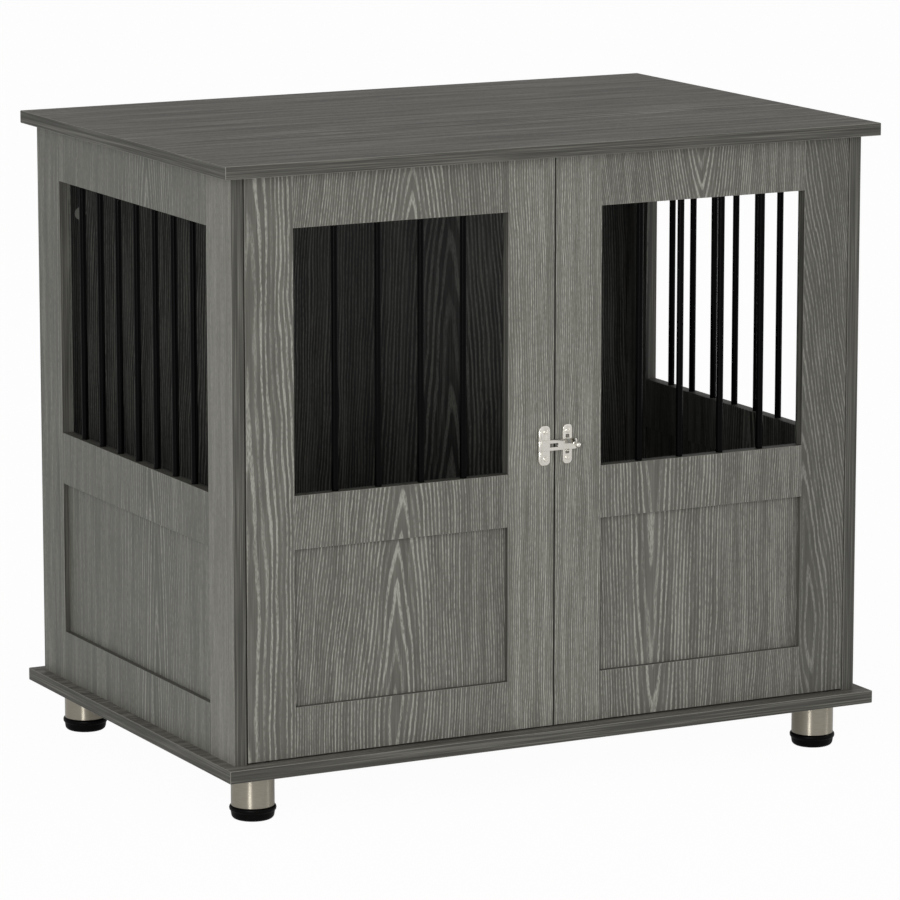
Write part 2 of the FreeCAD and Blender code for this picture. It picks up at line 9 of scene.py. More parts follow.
import bpy
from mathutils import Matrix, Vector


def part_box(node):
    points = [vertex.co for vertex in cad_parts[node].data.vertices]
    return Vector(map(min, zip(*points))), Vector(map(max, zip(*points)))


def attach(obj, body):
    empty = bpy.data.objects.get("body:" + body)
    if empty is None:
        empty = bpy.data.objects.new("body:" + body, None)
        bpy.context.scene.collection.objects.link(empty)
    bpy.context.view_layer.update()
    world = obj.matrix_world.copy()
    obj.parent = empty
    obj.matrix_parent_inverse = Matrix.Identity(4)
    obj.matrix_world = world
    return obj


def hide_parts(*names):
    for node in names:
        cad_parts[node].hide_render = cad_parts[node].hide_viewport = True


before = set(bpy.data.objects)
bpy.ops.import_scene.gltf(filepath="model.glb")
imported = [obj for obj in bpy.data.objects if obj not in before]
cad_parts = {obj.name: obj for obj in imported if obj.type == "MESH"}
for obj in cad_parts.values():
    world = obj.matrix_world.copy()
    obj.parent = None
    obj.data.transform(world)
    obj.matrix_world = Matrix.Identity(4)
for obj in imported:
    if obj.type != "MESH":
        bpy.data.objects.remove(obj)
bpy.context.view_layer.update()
MM = 0.001

# %% [markdown]
# ## Camera
# The photograph was taken from the front left with a long lens, so upright edges stay almost parallel.
# A shifted lens would make them exactly parallel, but every other view would keep its shift. So a plain
# long lens stands far away for the same calm perspective, and a small downward tilt shows the top board.

# %% Camera
CAMERA_AT = (-2.7756, -5.3262, 1.4945)
CAMERA_TILT = 10.759
CAMERA_SWING = 27.565
LENS_MM = 203.6
SENSOR_MM = 36
bpy.ops.object.camera_add(
    location=CAMERA_AT, rotation=(radians(90 - CAMERA_TILT), 0, radians(-CAMERA_SWING)))
camera = bpy.context.object
camera.name = "photo_camera"
camera.data.lens = LENS_MM
camera.data.sensor_width = SENSOR_MM
bpy.context.scene.camera = camera
bpy.context.scene.view_settings.view_transform = "Standard"
print("camera at", CAMERA_AT, "with a", LENS_MM, "mm lens")

# %% [markdown]
# ## Helpers for every material
# Colours are written as sRGB hex values, the way they are read off a picture, and one function turns them
# into the linear values that the renderer wants. Another adds any node, fills in its settings and links its
# inputs. The same trees could be drawn by hand in the node editor, but a list of nodes is easier to check.

# %% Colours, nodes and materials
def linear(hex_colour):
    """The linear RGBA of an sRGB hex colour."""
    parts = [int(hex_colour[i:i + 2], 16) / 255 for i in (1, 3, 5)]
    return [p / 12.92 if p <= 0.04045 else ((p + 0.055) / 1.055) ** 2.4 for p in parts] + [1.0]


def node(tree, kind, settings=None, links=None):
    """Add one node, set its properties or inputs, and link inputs to sockets or to nodes' first outputs."""
    made = tree.nodes.new(kind)
    for key, value in (settings or {}).items():
        if key == "stops":
            ends = made.color_ramp.elements
            ends[0].position, ends[0].color = value[0][0], linear(value[0][1])
            ends[1].position, ends[1].color = value[-1][0], linear(value[-1][1])
            for place, colour in value[1:-1]:
                ends.new(place).color = linear(colour)
        elif isinstance(key, str) and hasattr(made, key):
            setattr(made, key, value)
        else:
            made.inputs[key].default_value = value
    for key, source in (links or {}).items():
        socket = source.outputs[0] if isinstance(source, bpy.types.Node) else source
        tree.links.new(socket, made.inputs[key])
    return made


def material(name):
    """A new material and its empty node tree."""
    made = bpy.data.materials.new(name)
    made.use_nodes = True
    made.node_tree.nodes.clear()
    return made, made.node_tree


print("a middle grey of #808080 is", round(linear("#808080")[0], 3), "in linear light")

# %% [markdown]
# ## Floor
# The crate stands on matt white paper. Enough light to make paper look white would wash out the crate, so
# the light stays plain, and only the rays that look straight at the paper see white: camera and see-through
# rays almost wholly, mirror rays in part. All other light on it is real, so the crate keeps its shadow.

# %% Floor
FLOOR_HALF = 30.0
PAPER_SHARE = 0.97
PAPER_MIRROR_SHARE = 0.3


def paper_rays(tree, straight, mirrored):
    """The share of white that camera, see-through and mirror rays see."""
    rays = node(tree, "ShaderNodeLightPath")
    seen = node(tree, "ShaderNodeMath", {"operation": "MULTIPLY", 1: straight},
                {0: rays.outputs["Is Camera Ray"]})
    seen = node(tree, "ShaderNodeMath", {"operation": "MULTIPLY_ADD", 1: straight},
                {0: rays.outputs["Is Transmission Ray"], 2: seen})
    return node(tree, "ShaderNodeMath", {"operation": "MULTIPLY_ADD", 1: mirrored},
                {0: rays.outputs["Is Glossy Ray"], 2: seen})


bpy.ops.mesh.primitive_plane_add(size=2 * FLOOR_HALF)
floor = bpy.context.object
floor.name = "paper_floor"
paper, tree = material("white paper floor")
matt = node(tree, "ShaderNodeBsdfDiffuse", {"Color": linear("#f4f4f2")})
white = node(tree, "ShaderNodeEmission", {"Color": linear("#ffffff"), "Strength": 1.0})
both = node(tree, "ShaderNodeMixShader", {},
            {0: paper_rays(tree, PAPER_SHARE, PAPER_MIRROR_SHARE), 1: matt, 2: white})
node(tree, "ShaderNodeOutputMaterial", {}, {"Surface": both})
floor.data.materials.append(paper)
print("floor", 2 * FLOOR_HALF, "m wide")

# %% [markdown]
# ## Room
# A catalogue picture is taken in a white room: the bright wall is behind the camera, and the wall behind
# the object is dimmer than it looks. That lights the front more than the top, and gives a round metal foot
# its bright middle. Walls could be built, but a world whose grey follows the direction is simpler and has no
# corners. Camera rays see it as white.

# %% World
# The bright wall's direction. Looking along it gives about 1, and away from it about -1.
BRIGHT_WALL = (-0.25, -0.9, -0.35)
WALL_STOPS = [(0.0, "#989898"), (0.35, "#b8b8b8"), (0.6, "#dedede"), (1.0, "#ffffff")]
WALL_STRENGTH = 0.83
WALL_MIRROR_SHARE = 0.2
room = bpy.data.worlds.new("white room")
room.use_nodes = True
tree = room.node_tree
tree.nodes.clear()
place = node(tree, "ShaderNodeTexCoord")
aim = node(tree, "ShaderNodeVectorMath", {"operation": "DOT_PRODUCT", 1: BRIGHT_WALL},
           {0: place.outputs["Generated"]})
aim = node(tree, "ShaderNodeMath", {"operation": "MULTIPLY_ADD", 1: 0.5, 2: 0.5}, {0: aim.outputs["Value"]})
walls = node(tree, "ShaderNodeValToRGB", {"stops": WALL_STOPS}, {0: aim})
lit = node(tree, "ShaderNodeBackground", {"Strength": WALL_STRENGTH}, {"Color": walls})
white = node(tree, "ShaderNodeBackground", {"Color": linear("#ffffff"), "Strength": 1.0})
both = node(tree, "ShaderNodeMixShader", {},
            {0: paper_rays(tree, 1.0, WALL_MIRROR_SHARE), 1: lit, 2: white})
node(tree, "ShaderNodeOutputWorld", {}, {"Surface": both})
bpy.context.scene.world = room
print("world", room.name)

# %% [markdown]
# ## Lamps
# Two tall softboxes stand beside the camera, a strong one on the left and a weak one on the right, so the
# left side and the front differ a little and round metal gets an upright line of light. A sun lamp would
# throw a hard shadow, which the photograph doesn't have, so both lamps are large areas.

# %% Softboxes
SOFTBOX_TALL = 2.4
SOFTBOX_TILT = 80


def softbox(name, at, swing, width, watts):
    """A tall soft lamp that looks slightly down at the crate."""
    bpy.ops.object.light_add(
        type="AREA", location=at, rotation=(radians(SOFTBOX_TILT), 0, radians(swing)))
    lamp = bpy.context.object
    lamp.name = name
    lamp.data.shape = "RECTANGLE"
    lamp.data.size = width
    lamp.data.size_y = SOFTBOX_TALL
    lamp.data.energy = watts
    print(name, "of", watts, "W")


softbox("left_softbox", (-3.0, -3.4, 1.3), -41, 1.0, 82)
softbox("right_softbox", (3.8, -2.4, 1.3), 58, 0.9, 16)

# %% [markdown]
# ## Grey wood foil
# Every board and frame is fibreboard wrapped in a grey printed foil with an embossed grain: flat dark wood
# between paler, slightly raised lines. A scan of foil could be wrapped round each piece, but it would need
# images and unwrapped faces. A solid pattern of nodes needs neither, and edges and faces agree. Each sheet's
# place is turned so that x runs across its grain, y into the board and z along the grain.

# %% How a sheet lies
TURNS = {
    "front": (0, 0, 0),
    "side": (0, 0, radians(-90)),
    "board": (radians(-90), radians(-90), 0),
    "edge": (radians(90), 0, radians(90)),
}
FACE_ON = 0.7


def laid(tree, facing, heart):
    """A point's spot on the object and in the grain, and how squarely its face looks along each axis."""
    place = node(tree, "ShaderNodeTexCoord")
    spot = place.outputs["Object"]
    offset = [-value for value in heart]
    grain = node(tree, "ShaderNodeMapping", {"Rotation": TURNS[facing], "Location": offset},
                 {"Vector": spot})
    square = node(tree, "ShaderNodeVectorMath", {"operation": "ABSOLUTE"}, {0: place.outputs["Normal"]})
    square = node(tree, "ShaderNodeSeparateXYZ", {}, {0: square})
    if facing != "board":
        return spot, grain.outputs[0], square

    # The strip on a board's end runs along the end, across the board.
    strip = node(tree, "ShaderNodeMapping", {"Rotation": TURNS["edge"], "Location": offset},
                 {"Vector": spot})
    ends = node(tree, "ShaderNodeMath", {"operation": "GREATER_THAN", 1: FACE_ON},
                {0: square.outputs["X"]})
    grain = node(tree, "ShaderNodeMix", {"data_type": "VECTOR"}, {0: ends, 4: grain, 5: strip})
    return spot, grain.outputs[1], square


def streaks(tree, grain, wide_mm, squeeze, detail, rough=0.5):
    """Soft streaks of one width. Squeezing the place along the grain draws them out."""
    drawn = node(tree, "ShaderNodeMapping", {"Scale": (1, 1, squeeze)}, {"Vector": grain})
    return node(tree, "ShaderNodeTexNoise",
                {"Scale": 1 / (wide_mm * MM), "Detail": detail, "Roughness": rough}, {"Vector": drawn})


print("sheets can lie as", ", ".join(TURNS))

# %% [markdown]
# ### Growth rings
# The print shows a flat-sawn log. A log's growth rings are cones about its heart, and a board cuts them at
# a small angle, which draws nested arches near the heart and straight lines beside it. A Wave texture draws
# rings in one node, but all of one width and strength. So the pattern here is the distance from a leaning
# heart line, cut into rings, with slow wandering and a random strength for each ring.

# %% Ring lines
RING_POWER = 1.35
RING_STOPS = [(0.0, "#000000"), (0.46, "#0c0c0c"), (0.64, "#ffffff"), (0.9, "#dcdcdc"), (1.0, "#000000")]
WEAKEST_RING = 0.4


def wandering(tree, grain, wander_mm):
    """A slow drift of the rings, about 70 mm across and 280 mm along the grain."""
    drift = streaks(tree, grain, 70, 0.25, 4.0)
    drift = node(tree, "ShaderNodeVectorMath", {"operation": "SUBTRACT", 1: (0.5, 0.5, 0.5)},
                 {0: drift.outputs["Color"]})
    return node(tree, "ShaderNodeVectorMath", {"operation": "SCALE", "Scale": wander_mm * MM}, {0: drift})


def ring_lines(tree, grain, lean, ring_mm, wander_mm):
    """The pale line of each growth ring about a heart line that leans by two angles, in degrees."""
    leaning = node(tree, "ShaderNodeMapping", {"Rotation": (radians(-lean[0]), radians(lean[1]), 0)},
                   {"Vector": grain})
    path = node(tree, "ShaderNodeVectorMath", {"operation": "ADD"},
                {0: leaning, 1: wandering(tree, grain, wander_mm)})
    away = node(tree, "ShaderNodeVectorMath", {"operation": "ABSOLUTE"}, {0: path})
    away = node(tree, "ShaderNodeVectorMath", {"operation": "SCALE", "Scale": 1 / (ring_mm * MM)}, {0: away})
    away = node(tree, "ShaderNodeSeparateXYZ", {}, {0: away})

    # A young tree grows wide rings and an old one narrow rings, so the count rises faster than the
    # distance. Adding powers of the two distances, instead of a true circle, gives the arches pointed tops.
    across = node(tree, "ShaderNodeMath", {"operation": "POWER", 1: RING_POWER}, {0: away.outputs["X"]})
    deep = node(tree, "ShaderNodeMath", {"operation": "POWER", 1: RING_POWER}, {0: away.outputs["Y"]})
    rings = node(tree, "ShaderNodeMath", {"operation": "ADD"}, {0: across, 1: deep})

    # Each ring runs from dark early wood to a pale line, with a strength of its own.
    part = node(tree, "ShaderNodeMath", {"operation": "FRACT"}, {0: rings})
    line = node(tree, "ShaderNodeValToRGB", {"stops": RING_STOPS}, {0: part})
    which = node(tree, "ShaderNodeMath", {"operation": "FLOOR"}, {0: rings})
    luck = node(tree, "ShaderNodeTexWhiteNoise", {"noise_dimensions": "1D"}, {"W": which})
    strength = node(tree, "ShaderNodeMath",
                    {"operation": "MULTIPLY_ADD", 1: 1 - WEAKEST_RING, 2: WEAKEST_RING},
                    {0: luck.outputs["Value"]})
    return node(tree, "ShaderNodeMath", {"operation": "MULTIPLY"}, {0: line, 1: strength})


print("the faintest ring has", WEAKEST_RING, "of a full line")

# %% [markdown]
# ### Flecks, fibres and ink
# Close up, the pale lines are broken into short flecks by the embossing roller, fine fibres run along the
# grain, and the printing ink lies thicker in broad streaks. One noise could blur all three together, but
# their sizes differ tenfold, so each has a noise of its own, scaled from its size in millimetres.

# %% Print
FIBRE_SHARE = 0.28


def printed(tree, grain, lines, streak):
    """The ring lines broken by flecks, with fibres and thicker ink over them, from 0 dark to 1 pale."""
    # Flecks about 1.5 mm wide and 6 mm long.
    fleck = streaks(tree, grain, 1.5, 0.25, 2.0)
    fleck = node(tree, "ShaderNodeMapRange",
                 {"From Min": 0.35, "From Max": 0.62, "To Min": 0.4, "To Max": 1.0}, {0: fleck})
    lines = node(tree, "ShaderNodeMath", {"operation": "MULTIPLY"}, {0: lines, 1: fleck})

    # Fibres about 1.6 mm wide and 60 mm long. Real ones are finer, but the picture wouldn't show them.
    fibre = streaks(tree, grain, 1.6, 0.027, 3.0, 0.6)
    fibre = node(tree, "ShaderNodeMapRange",
                 {"From Min": 0.3, "From Max": 0.7, "To Min": 0.0, "To Max": 1.0}, {0: fibre})
    mixed = node(tree, "ShaderNodeMix", {"data_type": "FLOAT", 0: FIBRE_SHARE}, {2: lines, 3: fibre})

    # Ink streaks about 12 mm wide and 240 mm long.
    ink = streaks(tree, grain, 12, 0.05, 3.0, 0.6)
    ink = node(tree, "ShaderNodeMapRange",
               {"From Min": 0.3, "From Max": 0.7, "To Min": -streak, "To Max": streak}, {0: ink})
    return node(tree, "ShaderNodeMath", {"operation": "ADD"}, {0: mixed, 1: ink})


print("fibres take", FIBRE_SHARE, "of the print")

# %% [markdown]
# ### Edges and inside faces
# Edges are banded with a darker strip of straight lines, partly the real edge band and partly painted shade
# in the window reveals. The narrow rounds where two foils meet carry a painted highlight. The inside faces
# carry a darker, plainer colour that is painted shade for the dim cabin. Separate strips could be modelled,
# but they are thinner than paper, so the direction a face looks in picks its foil, and the cabin's box
# picks the inside.

# %% Bands and backing
# Edge tones: partly the real edge band, partly painted shade in the shadowed window reveals.
EDGE_BAND_AND_SHADE_TONES = ("#33322d", "#464540", "#6a6961")
# The pale tone of the rounded edges is a painted highlight.
ARRIS_HIGHLIGHT_TONE = "#807f78"
ARRIS_BELOW = 0.9
FACES = {"front": "Y", "side": "X", "board": "Z"}
CABIN_MIDDLE = (0, 0.0025, 0.406)
CABIN_HALF = (0.3985, 0.2611, 0.3355)
# Tones of the painted shade on the inside faces of the cabin.
INSIDE_SHADE_STOPS = [(0.1, "#0b0b0a"), (0.6, "#585852")]


def largest(tree, parts):
    """The largest of a vector's three parts."""
    two = node(tree, "ShaderNodeMath", {"operation": "MAXIMUM"},
               {0: parts.outputs["X"], 1: parts.outputs["Y"]})
    return node(tree, "ShaderNodeMath", {"operation": "MAXIMUM"}, {0: two, 1: parts.outputs["Z"]})


def edge_band_and_painted_light(tree, grain, square, facing, colour):
    """The colour with a dark strip on the edges, partly edge band and partly painted shade, and painted
    highlights on the rounds.
    """
    # Lines about 1.4 mm wide and 140 mm long.
    strip = streaks(tree, grain, 1.4, 0.01, 2.0)
    # The strip's dark tones are partly the edge band and partly painted shade in the window reveals.
    strip = node(tree, "ShaderNodeValToRGB", {"stops": list(zip((0.32, 0.5, 0.7), EDGE_BAND_AND_SHADE_TONES))}, {0: strip})
    edge = node(tree, "ShaderNodeMath", {"operation": "LESS_THAN", 1: FACE_ON},
                {0: square.outputs[FACES[facing]]})
    colour = node(tree, "ShaderNodeMix", {"data_type": "RGBA"}, {0: edge, 6: colour, 7: strip})

    # A rounded edge faces no axis squarely.
    # The pale tone on the rounds is a painted highlight, where a rounded edge would catch the light.
    arris_highlight = node(tree, "ShaderNodeMath", {"operation": "LESS_THAN", 1: ARRIS_BELOW},
                  {0: largest(tree, square)})
    colour = node(tree, "ShaderNodeMix", {"data_type": "RGBA", 7: linear(ARRIS_HIGHLIGHT_TONE)},
                  {0: arris_highlight, 6: colour.outputs[2]})
    return colour.outputs[2]


def with_inside_shade(tree, spot, shade, colour):
    """The colour, with painted shade in place of the foil wherever the spot lies in the cabin's box."""
    reach = node(tree, "ShaderNodeVectorMath", {"operation": "SUBTRACT", 1: CABIN_MIDDLE}, {0: spot})
    reach = node(tree, "ShaderNodeVectorMath", {"operation": "ABSOLUTE"}, {0: reach})
    reach = node(tree, "ShaderNodeVectorMath", {"operation": "DIVIDE", 1: CABIN_HALF}, {0: reach})
    reach = node(tree, "ShaderNodeSeparateXYZ", {}, {0: reach})
    inside = node(tree, "ShaderNodeMath", {"operation": "LESS_THAN", 1: 1.0}, {0: largest(tree, reach)})
    # The inside faces get a darker colour as painted shade, for the light that hardly reaches the cabin.
    inside_shade = node(tree, "ShaderNodeValToRGB", {"stops": INSIDE_SHADE_STOPS}, {0: shade})
    colour = node(tree, "ShaderNodeMix", {"data_type": "RGBA"}, {0: inside, 6: colour, 7: inside_shade})
    return colour.outputs[2]


print("the cabin is", [round(2 * half, 3) for half in CABIN_HALF], "m inside")

# %% [markdown]
# ### The whole foil
# Now the steps come together. The foil is printed paper under a satin resin, so it is fairly rough, and the
# raised pale lines shine a little more than the dark wood between them. The embossing is a quarter of a
# millimetre deep: too fine to model, so it is a bump.

# %% Foil
TONE_PLACES = (0.05, 0.3, 0.67)
FOIL_IOR = 1.48
FOIL_ROUGH = {"To Min": 0.55, "To Max": 0.42}
EMBOSS_MM = 0.25
EMBOSS_STRENGTH = 0.35


def foil(name, facing, heart, lean, ring_mm, tones, wander_mm=10, streak=0.12):
    """A foil whose heart line passes heart = (across, depth, along) in the facing's own axes, in metres."""
    made, tree = material(name)
    spot, grain, square = laid(tree, facing, heart)
    shade = printed(tree, grain, ring_lines(tree, grain, lean, ring_mm, wander_mm), streak)
    colour = node(tree, "ShaderNodeValToRGB", {"stops": list(zip(TONE_PLACES, tones))}, {0: shade})
    colour = with_inside_shade(tree, spot, shade, edge_band_and_painted_light(tree, grain, square, facing, colour))
    shine = node(tree, "ShaderNodeMapRange", FOIL_ROUGH, {0: shade})
    emboss = node(tree, "ShaderNodeBump", {"Strength": EMBOSS_STRENGTH, "Distance": EMBOSS_MM * MM},
                  {"Height": shade})
    surface = node(tree, "ShaderNodeBsdfPrincipled", {"IOR": FOIL_IOR},
                   {"Base Color": colour, "Roughness": shine, "Normal": emboss})
    node(tree, "ShaderNodeOutputMaterial", {}, {"Surface": surface})
    return made


print("the foil is embossed", EMBOSS_MM, "mm deep")

# %% [markdown]
# ### Foils on the doors
# The rails and the panel of a frame were cut from one sheet, so they share a heart line and the arches run
# on from one to the next. Each stile is a strip of its own. Beside the heart the lines are straight, so a
# stile whose heart lies far outside it shows plain straight grain. One foil for all would be less work, but
# then the joints between the pieces wouldn't show.

# %% Door foils
DOOR_TONES = ("#53514a", "#67665f", "#9a9991")
STRIP_TONES = ("#5d5c55", "#73726a", "#a9a8a0")
# Darker tones for the right hinge strip are painted shade, for light that falls off towards the right.
SHADED_STRIP_TONES = ("#4a4943", "#5a5953", "#82817a")
FRONT = -0.270


def dress(names, finish):
    """Give CAD nodes a finish."""
    for name in names:
        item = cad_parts[name]
        item.data.materials.clear()
        item.data.materials.append(finish)
    print(finish.name, "on", len(names), "pieces")


dress([f"left_door_{part}" for part in ("top_rail", "mid_rail", "bottom_rail", "infill")],
      foil("left door sheet", "front", (-0.205, FRONT, 0.13), (6.0, -2.0), 10, DOOR_TONES, 16))
dress(["left_door_hinge_stile"],
      foil("left door hinge strip", "front", (-0.388, FRONT, 0.24), (2.0, 0.5), 12, DOOR_TONES, 28))
dress(["left_door_meeting_stile"],
      foil("left door meeting strip", "front", (-0.15, FRONT, 0), (1.0, 0.0), 9.5, STRIP_TONES, 22))
dress([f"right_door_{part}" for part in ("mid_rail", "bottom_rail", "infill")],
      foil("right door sheet", "front", (0.134, FRONT, 0.52), (3.5, 0.0), 10, DOOR_TONES, 20))
dress(["right_door_top_rail"],
      foil("right door top strip", "front", (0.19, FRONT, 0.775), (-12.0, 3.0), 8, DOOR_TONES))
dress(["right_door_meeting_stile"],
      foil("right door meeting strip", "front", (0.19, FRONT, 0), (1.0, 0.0), 9, STRIP_TONES, 24))
# The right hinge strip is painted darker: painted shade, where less light reaches the right end of the
# doors.
dress(["right_door_hinge_stile"],
      foil("right door hinge strip", "front", (0.348, FRONT, 0.17), (6.0, 4.0), 9, SHADED_STRIP_TONES, 20))

# %% [markdown]
# ### Foils on the sides, the back and the boards
# The sides are framed like the doors, in a slightly cooler, calmer foil. The back is one upright sheet.
# The grain of the top and base boards runs from left to right, with stronger streaks of ink. All are the
# same foil function, and only its tones and the place of the heart line change.

# %% Cabinet foils
SIDE_TONES = ("#585852", "#686862", "#908f87")
SMOOTH_TONES = ("#67665f", "#77766f", "#9b9a92")
BOARD_TONES = ("#4c4a44", "#605d56", "#8e8b83")
BOARD_STREAK = 0.26
SIDE = 0.410

for hand in ("left", "right"):
    side_at = SIDE if hand == "left" else -SIDE
    dress([f"{hand}_side_{part}" for part in ("top_rail", "mid_rail", "bottom_rail", "infill")],
          foil(f"{hand} side sheet", "side", (-0.045, side_at, 0.0), (4.0, 0.0), 11, SIDE_TONES, 14))
    dress([f"{hand}_side_front_stile"],
          foil(f"{hand} side front strip", "side", (-0.12, side_at, 0), (1.0, 0.0), 9, SMOOTH_TONES, 16))
    dress([f"{hand}_side_rear_stile"],
          foil(f"{hand} side rear strip", "side", (0.11, side_at, 0), (1.0, 0.0), 12, SIDE_TONES, 10, 0.2))
dress(["back_panel"],
      foil("back panel sheet", "front", (0.14, 0.26, -0.1), (4.0, 0.0), 13, SIDE_TONES, 22))
for board, heart, lean in (("top", (-0.08, 0.756, -0.35), (2.5, 0.0)),
                           ("base", (0.1, 0.071, -0.7), (3.0, 0.0))):
    dress([f"{board}_board"],
          foil(f"{board} board sheet", "board", heart, lean, 13, BOARD_TONES, 22, BOARD_STREAK))

# %% [markdown]
# ## Metals and plastics
# The bars are mild steel with a black powder coat, which dries to a fine orange peel. The feet are satin
# steel tube, brushed around, and such fine scratches draw a lamp out into an upright line. The latch is
# nickel plated and smoother. Caps, bushes and catch are moulded black plastic with a fine spark-eroded
# texture. Each could have its own tree, but all are a fine grain in colour, gloss and height, so one
# function makes them from the grain's size in millimetres.

# %% Fine-grained finishes
EVEN = (1, 1, 1)
BRUSHED_AROUND = (0.05, 0.05, 1)
ALONG_DOWEL = (1, 1, 0.1)
GRAIN_STRENGTH = 0.4
QUARTER_TURN = 0.25


def grained(name, dark, pale, grain_mm, stretch, rough, bump_mm, metallic=0.0, specular=0.5, brushed=0.0):
    """A finish with a fine noise in colour, roughness and height, stretched by a factor along each axis."""
    made, tree = material(name)
    place = node(tree, "ShaderNodeTexCoord")
    scaled = node(tree, "ShaderNodeMapping", {"Scale": stretch}, {"Vector": place.outputs["Object"]})
    noise = node(tree, "ShaderNodeTexNoise", {"Scale": 1 / (grain_mm * MM), "Detail": 3.0},
                 {"Vector": scaled})
    colour = node(tree, "ShaderNodeValToRGB", {"stops": [(0.3, dark), (0.7, pale)]}, {0: noise})
    gloss = node(tree, "ShaderNodeMapRange", {"To Min": rough[0], "To Max": rough[1]}, {0: noise})
    relief = node(tree, "ShaderNodeBump", {"Strength": GRAIN_STRENGTH, "Distance": bump_mm * MM},
                  {"Height": noise})
    links = {"Base Color": colour, "Roughness": gloss, "Normal": relief}
    if brushed:
        links["Tangent"] = node(tree, "ShaderNodeTangent", {"direction_type": "RADIAL", "axis": "Z"})
    surface = node(tree, "ShaderNodeBsdfPrincipled",
                   {"Metallic": metallic, "Specular IOR Level": specular, "Anisotropic": brushed,
                    "Anisotropic Rotation": QUARTER_TURN}, links)
    node(tree, "ShaderNodeOutputMaterial", {}, {"Surface": surface})
    return made


powder_coat = grained("black powder coat", "#020202", "#050505", 1.2, EVEN, (0.12, 0.18), 0.01,
                      specular=0.05)
satin_tube = grained("brushed steel tube", "#9c9689", "#a8a295", 0.5, BRUSHED_AROUND, (0.28, 0.31), 0.001,
                     metallic=1.0, brushed=0.9)
nickel = grained("nickel plate", "#e6e2d9", "#f2efe8", 1.5, EVEN, (0.18, 0.26), 0.004, metallic=1.0)
moulded = grained("moulded black plastic", "#030303", "#070707", 0.6, EVEN, (0.35, 0.45), 0.03,
                  specular=0.06)
zinc = grained("zinc die casting", "#8a8b88", "#a2a39f", 1.0, EVEN, (0.35, 0.5), 0.02, metallic=1.0)
cam_zinc = grained("dull zinc cam", "#84847f", "#9a9a95", 1.0, EVEN, (0.4, 0.5), 0.02, metallic=1.0)
nylon = grained("black nylon", "#101010", "#181818", 0.8, EVEN, (0.4, 0.5), 0.02, specular=0.3)
beech = grained("beech dowel", "#b98f63", "#d2ab7e", 0.9, ALONG_DOWEL, (0.6, 0.7), 0.05)

# %% Metals and plastics on the pieces
barred_frames = ("left_side", "right_side", "left_door", "right_door")
corners = ("front_left", "rear_left", "front_right", "rear_right")
dress([f"{name}_bars" for name in barred_frames], powder_coat)
dress([f"{name}_dowels" for name in barred_frames], beech)
dress([f"{name}_foot_tube" for name in corners], satin_tube)
dress(["foot_caps", "magnetic_catch"], moulded)
dress(["pivot_bushes"], nylon)
dress(["cam_locks"], cam_zinc)
dress(["cam_bolts", "foot_studs", "insert_nuts", "left_door_strike", "right_door_strike",
       "left_door_pivot_pins", "right_door_pivot_pins"], zinc)
dress(["latch_plate", "latch_plate_screws", "latch_pin", "latch_arm", "latch_knob", "latch_keeper",
       "latch_keeper_screws"], nickel)

# %% [markdown]
# ## Latch plates with worn edges
# The latch is pressed from sheet steel and then tumbled and plated, so none of its edges is sharp: each one
# shows a thin line of light. The plates could be drawn again, but they have no other form, so a narrow
# rounded bevel runs round every edge of a copy. The copy starts as loose triangles, so its corners are
# merged and its flat faces joined first.

# %% Helpers for finished pieces
SMOOTH_BELOW = radians(35)
SAME_CORNER = 0.001 * MM
FLAT_BELOW = radians(1)


def only(item):
    """Make one object the only selected one."""
    bpy.ops.object.select_all(action="DESELECT")
    item.select_set(True)
    bpy.context.view_layer.objects.active = item


def finished(item, body, slot, finish, *nodes):
    """Smooth a piece, give it its finish and let it stand for its CAD nodes."""
    only(item)
    bpy.ops.object.transform_apply(location=True, rotation=True, scale=True)
    bpy.ops.object.shade_smooth_by_angle(angle=SMOOTH_BELOW)
    item.data.materials.clear()
    item.data.materials.append(finish)
    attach(item, body)
    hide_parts(*nodes)
    print(item.name, "has", len(item.data.polygons), "faces")


def merged(name, title):
    """A copy of a CAD node with its corners merged and its flat faces joined."""
    piece = bpy.data.objects.new(title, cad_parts[name].data.copy())
    bpy.context.scene.collection.objects.link(piece)
    only(piece)
    bpy.ops.object.mode_set(mode="EDIT")
    bpy.ops.mesh.select_all(action="SELECT")
    bpy.ops.mesh.remove_doubles(threshold=SAME_CORNER)
    bpy.ops.mesh.dissolve_limited(angle_limit=FLAT_BELOW)
    bpy.ops.object.mode_set(mode="OBJECT")
    return piece


print("corners closer than", SAME_CORNER, "m are merged")

# %% Pressed latch pieces
WORN_EDGE_MM = 0.25
WORN_STEPS = 2
WORN_ABOVE = radians(40)

for name, body in (("latch_plate", "left_door"), ("latch_keeper", "right_door"),
                   ("latch_arm", "latch_arm")):
    pressed = merged(name, f"tumbled_{name}")
    edge = pressed.modifiers.new("edge", "BEVEL")
    edge.width = WORN_EDGE_MM * MM
    edge.segments = WORN_STEPS
    edge.limit_method = "ANGLE"
    edge.angle_limit = WORN_ABOVE
    bpy.ops.object.modifier_apply(modifier=edge.name)
    finished(pressed, body, "bright_nickel", nickel, name)

# %% [markdown]
# ## Turned knob
# The knob is turned on a lathe: a collar against the arm, a thin neck and a ball. Its profile could be spun,
# but that leaves seams to merge. So it starts as a disc on the arm. Each cut extrudes the disc a little and
# resizes it to the radius there, and the list of cuts is the knob's profile.

# %% Knob
KNOB_SIDES = 32
KNOB_FOOT_MM = 2.2
